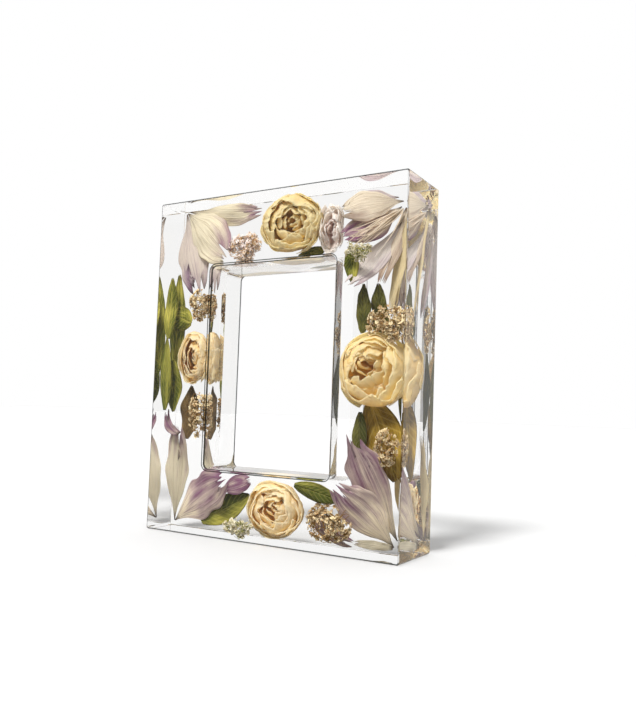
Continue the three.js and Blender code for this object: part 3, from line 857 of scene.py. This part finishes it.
# one petal of a cupped head: part of a rounded shell that closes towards the face and frills at its rim
def rosePetal(spec, layer, turn, draw, rows=22, cols=34):
    size, half, close, sink = layer
    u, v = flatGrid(rows, cols)
    ruffle = spec.get("ruffle", 1.0)
    wide = math.radians(half)
    angle = turn + wide * v * (0.5 + 0.5 * u ** 0.5)
    arc = v * wide * size
    dip = 0.09 * np.exp(-((v - draw.normal(0, 0.4)) / 0.22) ** 2)
    fray = 0.07 * np.abs(ripple(arc, 0 * v, draw, 5, 0.2, 0.9)) + 0.006 * ripple(arc, 0 * v, draw, 6, 3, 7)
    w = u * (1 - 0.16 * np.abs(v) ** 3 - dip - fray)
    lift = np.radians(-88 + (88 + close + draw.normal(0, 8 * ruffle) * v) * w ** 0.85)
    frill = np.clip((w - 0.45) / 0.55, 0, 1) ** 1.6
    rho = size * np.cos(lift) * (1 + 0.1 * ruffle * frill * ripple(u * 0.3, arc * 0.5, draw, 5, 0.4, 1.6))
    rho = rho + 0.04 * np.clip((w - 0.78) / 0.22, 0, 1) ** 2  # rim turned out
    rim = spec["rim"] + spec["tilt"] * np.cos(angle)
    rise = np.sin(lift)
    front = spec["face"] + sink + (rim - spec["face"]) * 0.35 * (1 - size)
    behind = (spec["back"] - 1 - rim) * (0.5 + 0.5 * size)
    depth = np.where(rise > 0, rim - (rim - front) * np.abs(rise) ** 0.9, rim - behind * rise)
    depth = depth + 1.2 * ruffle * frill * ripple(u * 0.3, arc * 0.5, draw, 5, 0.4, 1.6)
    crumple = ripple(u * 0.5, arc * 1.3, draw, 8, 0.7, 2.6) * w  # crumpled tissue
    depth = depth + 0.5 * np.abs(crumple)
    rho = rho + 0.014 * crumple
    rho = rho * (0.98 - 0.055 * spec["lobe"] * np.cos(3 * angle + spec["turn"]) * np.cos(2 * angle))
    rho = np.where(rho > 0.94, 0.94 + 0.06 * np.tanh((rho - 0.94) / 0.06), np.maximum(rho, 0.015))
    depth = np.maximum(depth, spec["face"] - 1.5)
    sunk = np.clip((depth - spec["rim"]) / (spec["back"] - spec["rim"]), 0, 1) ** 2
    heart = np.array(spec["heart"]) * (1 - size)
    x = spec["centre"][0] + spec["lean"][0] * sunk + spec["radius"][0] * (rho * np.cos(angle) + heart[0])
    z = spec["centre"][1] + spec["lean"][1] * sunk + spec["radius"][1] * (rho * np.sin(angle) + heart[1])
    return u, v, np.stack([x, depth, z], -1)


def makeRose(node, spec):
    draw = np.random.default_rng(seedOf(node))
    pieces = Pieces()
    for count, size, half, close, sink in spec.get("rows", roseRows):
        start = draw.uniform(0, 2 * math.pi)
        hollow = spec["hollow"] if size < 0.7 else 1  # only the inner rows sink
        for k in range(count):
            layer = (size * draw.uniform(0.89, 1.04), half * draw.uniform(0.8, 1.12),
                     close + draw.normal(0, 6), hollow * sink + draw.normal(0, 0.6))
            turn = start + 2 * math.pi * k / count + draw.normal(0, 0.25)
            u, v, grid = rosePetal(spec, layer, turn, draw)
            tone = np.clip(size + draw.normal(0, 0.12), 0, 1)
            pieces.addShell(grid, 0.26, along=u, across=v, tone=tone)
    sealIn(pieces, node, roseFinishes[spec.get("look", spec["slot"])])


for node, spec in roses.items():
    makeRose(node, spec)
print("heads laid:", len(roses))

sprigs = {
    "sprig_left_upper": {
        "slot": "floret_straw", "centre": (-54, 136), "radius": (8, 10), "face": 4, "rim": 8,
        "back": 11.5, "count": 120,
    },
    "sprig_left_lower": {
        "slot": "floret_straw", "centre": (-51.5, 70), "radius": (7, 14), "face": 4, "rim": 8,
        "back": 12, "count": 90,
    },
    "sprig_bottom_pale": {
        "slot": "floret_pale", "centre": (-18, 7.5), "radius": (11, 5.5), "face": 3.5, "rim": 6,
        "back": 8.5, "count": 90,
    },
    "sprig_bottom_brown": {
        "slot": "floret_straw", "centre": (39, 15.5), "radius": (15, 11), "face": 7, "rim": 12,
        "back": 16, "count": 150, "frills": 7, "strands": 20,
    },
    "sprig_right_upper": {
        "slot": "floret_straw", "centre": (70, 121.5), "radius": (12.5, 10.5), "face": 8, "rim": 12,
        "back": 16, "count": 120, "frills": 8,
    },
    "sprig_right_back": {
        "slot": "floret_straw", "centre": (75, 121), "radius": (6, 13), "face": 32, "rim": 34.5,
        "back": 37.5, "count": 110,
    },
    "sprig_right_lower": {
        "slot": "floret_pale", "centre": (72, 57), "radius": (7, 10), "face": 7, "rim": 11,
        "back": 14.5, "count": 90, "look": "floret_straw",
    },
    "sprig_top_left": {
        "slot": "floret_straw", "centre": (-22.5, 169), "radius": (12.5, 9), "face": 5, "rim": 10,
        "back": 14, "count": 140, "look": "floret_blush", "frills": 34,
    },
    "sprig_top_right": {
        "slot": "floret_pale", "centre": (54, 160), "radius": (8, 5.5), "face": 2.5, "rim": 4.5,
        "back": 6.5, "count": 70,
    },
}


# one papery floret: a frilled cup of two thin faces
def addFloret(pieces, centre, facing, size, draw, tone):
    facing = facing / np.linalg.norm(facing)
    aside = np.cross(facing, [0.2, 0.5, 0.8])
    aside /= np.linalg.norm(aside)
    other = np.cross(facing, aside)
    tips = 9
    turn = draw.uniform(0, 2 * math.pi) + np.linspace(0, 2 * math.pi, tips, endpoint=False)
    frill = 1 + 0.22 * np.cos(4 * turn + draw.uniform(0, 6)) + draw.normal(0, 0.1, tips)
    spread = np.cos(turn)[:, None] * aside + np.sin(turn)[:, None] * other
    points, shades = [], []
    for gap in (0.05, -0.05):
        points.append((centre + facing * (gap - 0.55 * size))[None])
        shades.append([tone * 0.45])
        for far, lift, shade in ((0.5, -0.2, 0.8), (1.0, 0.1, 1.0)):
            rise = lift * size + draw.normal(0, 0.16 * size * far, tips) + gap
            points.append(centre + (far * size * frill)[:, None] * spread + rise[:, None] * facing)
            shades.append([tone * shade] * tips)
    faces, back = [], 2 * tips + 1
    for k in range(tips):
        near, after = 1 + k, 1 + (k + 1) % tips
        rim, rimAfter = near + tips, after + tips
        faces += [[0, near, after], [near, rim, rimAfter, after], [back, back + after, back + near]]
        faces.append([back + after, back + rimAfter, back + rim, back + near])
        faces.append([rim, back + rim, back + rimAfter, rimAfter])
    pieces.add(keepInside(np.concatenate(points)), faces, tone=np.concatenate(shades))


def makeSprig(node, spec):
    draw = np.random.default_rng(seedOf(node))
    (cx, cz), (rx, rz) = spec["centre"], spec["radius"]
    face, rim, back = spec["face"], spec["rim"], spec["back"]
    pieces = Pieces()

    def within(far, angle, share):
        dome = face + 0.8 + (rim - face) * far ** 2.2
        floor = max(dome + 0.4, rim + (back - rim) * (1 - far * far) - 0.8)
        x, z = cx + rx * far * math.cos(angle), cz + rz * far * math.sin(angle)
        return np.array([x, dome + (floor - dome) * share, z])

    def addStem(start, end, bend, points, thick, thin, sides):
        path = bentPath(start, end, bend, points)
        pieces.addTube(path, np.linspace(thick, thin, points), sides, stem=1.0, tone=0.5)

    foot = within(0.5, draw.uniform(0, 2 * math.pi), 1.0)
    heads = [within(math.sqrt(draw.uniform(0.05, 0.8)), 2.4 * k, draw.uniform(0, 0.6)) for k in range(11)]
    for head in heads:
        addStem(foot, head, draw.normal(0, 1.5, 3), 9, 0.32, 0.2, 5)
    for _ in range(2 * spec["count"]):
        head = heads[draw.integers(len(heads))]
        aside = draw.normal(0, 0.2, 2)
        flat = np.array([(head[0] - cx) / rx + aside[0], (head[2] - cz) / rz + aside[1]])
        far = min(0.93, float(np.hypot(*flat)))
        angle = math.atan2(flat[1], flat[0])
        centre = within(far, angle, draw.uniform(0, 0.7))
        outward = np.array([0.9 * far * math.cos(angle), -1.0, 0.9 * far * math.sin(angle)])
        facing = outward + draw.normal(0, 0.6, 3)
        addFloret(pieces, centre, facing, 0.5 + 0.95 * draw.uniform() ** 2, draw, draw.uniform(0.3, 1.35))
        addStem(head, centre, draw.normal(0, 0.5, 3), 4, 0.15, 0.1, 3)
    for _ in range(spec.get("frills", 0)):  # wider papery bracts among the florets
        centre = within(draw.uniform(0.1, 0.8), draw.uniform(0, 2 * math.pi), draw.uniform(0.3, 0.9))
        facing = np.array([0, -1.0, 0]) + draw.normal(0, 0.5, 3)
        addFloret(pieces, centre, facing, draw.uniform(1.7, 2.7), draw, 1.4)
    for _ in range(spec.get("strands", 8)):
        start = heads[draw.integers(len(heads))]
        end = within(0.96, draw.uniform(0, 2 * math.pi), 0.3)
        addStem(start, end, draw.normal(0, 1, 3) * (2.2, 0.6, 2.2), 9, 0.22, 0.12, 4)
    sealIn(pieces, node, floretFinishes[spec.get("look", spec["slot"])])


for node, spec in sprigs.items():
    makeSprig(node, spec)
print("sprigs laid:", len(sprigs))


# pale floor, soft studio light and the camera where the photograph was taken
def layFloor():
    mesh = bpy.data.meshes.new("floor")
    mesh.from_pydata([(-6, -6, 0), (6, -6, 0), (6, 6, 0), (-6, 6, 0)], [], [(0, 1, 2, 3)])
    floor = bpy.data.objects.new("floor", mesh)
    scene.collection.objects.link(floor)
    floor.location.z = -0.0002
    material, tree, shader, _ = newMaterial("paleFloor")
    grain = addNode(tree, "ShaderNodeTexNoise", Scale=3.0, Detail=2.0)
    dark, light = (0.495, 0.495, 0.495, 1), (0.505, 0.505, 0.505, 1)
    tree.links.new(mixColour(tree, grain.outputs["Fac"], dark, light), shader.inputs["Base Color"])
    setShine(shader, 0.8, 0.1)
    mesh.materials.append(material)


def lightStudio():
    world = bpy.data.worlds.new("studio")
    scene.world = world
    world.use_nodes = True
    tree = world.node_tree
    back = tree.nodes["Background"]
    place = tree.nodes.new("ShaderNodeTexCoord")
    facing = addNode(tree, "ShaderNodeVectorMath", i0=place.outputs["Generated"], i1=(0.52, -0.84, 0.1))
    facing.operation = "DOT_PRODUCT"
    toFront = addNode(tree, "ShaderNodeMapRange", Value=facing.outputs["Value"])
    toFront.interpolation_type = "SMOOTHSTEP"
    for key, value in (("From Min", 0.98), ("From Max", 0.86), ("To Min", 0.4), ("To Max", 1.0)):
        toFront.inputs[key].default_value = value
    path = tree.nodes.new("ShaderNodeLightPath")
    level = math2(tree, "MAXIMUM", toFront.outputs[0], path.outputs["Is Camera Ray"])
    tree.links.new(level, back.inputs["Strength"])
    back.inputs["Color"].default_value = (1, 1, 1, 1)
    sun = bpy.data.lights.new("key", "SUN")
    sun.energy = 4.8
    sun.angle = math.radians(14)
    key = bpy.data.objects.new("key", sun)
    key.rotation_euler = Vector((0.08, 0.78, -0.95)).to_track_quat("-Z", "Y").to_euler()
    key.visible_glossy = False
    key.visible_transmission = False
    scene.collection.objects.link(key)


def placeCamera():
    view = {
        "place": (236.9, -359.69, 75.28), "forward": (-0.51236, 0.85633, 0.06465), "roll": 2.01,
        "lens": 36.86,
    }
    forward = Vector(view["forward"]).normalized()
    right = forward.cross(Vector((0, 0, 1))).normalized()
    up = right.cross(forward)
    roll = math.radians(view["roll"])
    right, up = right * math.cos(roll) + up * math.sin(roll), up * math.cos(roll) - right * math.sin(roll)
    data = bpy.data.cameras.new("camera")
    data.lens = view["lens"]
    data.sensor_width = 36
    data.clip_start = 0.01
    camera = bpy.data.objects.new("camera", data)
    turn = Matrix((right, up, -forward)).transposed().to_4x4()
    camera.matrix_world = Matrix.Translation(Vector(view["place"]) * mm) @ turn
    scene.collection.objects.link(camera)
    scene.camera = camera


layFloor()
lightStudio()
placeCamera()
scene.view_settings.view_transform = "Standard"
scene.cycles.max_bounces = 20
scene.cycles.transmission_bounces = 16
scene.cycles.glossy_bounces = 10
scene.cycles.diffuse_bounces = 12
scene.cycles.transparent_max_bounces = 16
scene.cycles.sample_clamp_indirect = 6.0
scene.cycles.use_denoising = True
print("stage set")
